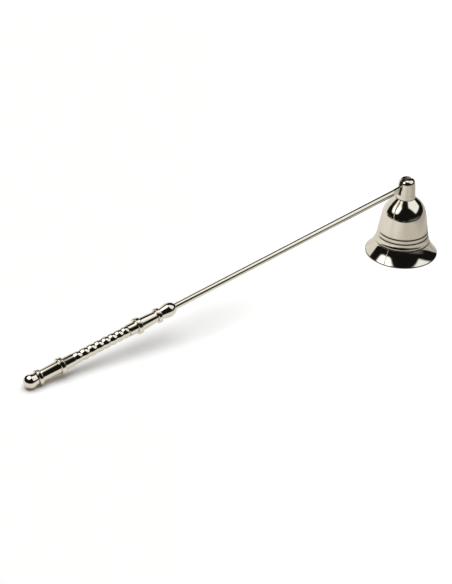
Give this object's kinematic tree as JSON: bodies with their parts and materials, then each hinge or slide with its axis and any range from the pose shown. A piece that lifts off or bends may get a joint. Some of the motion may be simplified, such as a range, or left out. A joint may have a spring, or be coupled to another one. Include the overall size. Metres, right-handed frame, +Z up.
{
  "type": "candle snuffer",
  "caption": "Polished nickel candle snuffer: a small flared bell that swings on a slotted neck at the end of a long slim rod with a bead-turned handle and round end knob.",
  "frame": {"origin": "on the floor, under the middle of the overall length", "axes": "+Z up, +X along the rod towards the bell, +Y across, along the hinge pin"},
  "size_m": [0.313, 0.0474, 0.0543],
  "materials": {
    "nickel_plated_brass": "turned brass with a mirror-polished bright nickel plate",
    "nickel_plated_steel": "drawn steel with a mirror-polished bright nickel plate"
  },
  "bodies": {
    "handle": {"nose_bud": "nickel_plated_brass", "front_collar": "nickel_plated_brass", "front_ferrule": "nickel_plated_brass", "grip_front_collar": "nickel_plated_brass", "grip_barrel": "nickel_plated_brass", "grip_rear_collar": "nickel_plated_brass", "rear_ferrule": "nickel_plated_brass", "rear_collar": "nickel_plated_brass", "end_knob": "nickel_plated_brass", "snuffer_rod": "nickel_plated_steel"},
    "bell": {"bell_cup": "nickel_plated_brass", "bell_neck": "nickel_plated_brass", "neck_screw": "nickel_plated_steel", "neck_washer": "nickel_plated_steel", "hinge_pin": "nickel_plated_steel"}
  },
  "joints": [
    {"name": "bell_hinge", "type": "hinge", "parent": "handle", "child": "bell", "pos_m": [0.13283, 0, 0.0483], "axis": [0, -1, 0], "range_deg": [-12, 209.4]}
  ]
}
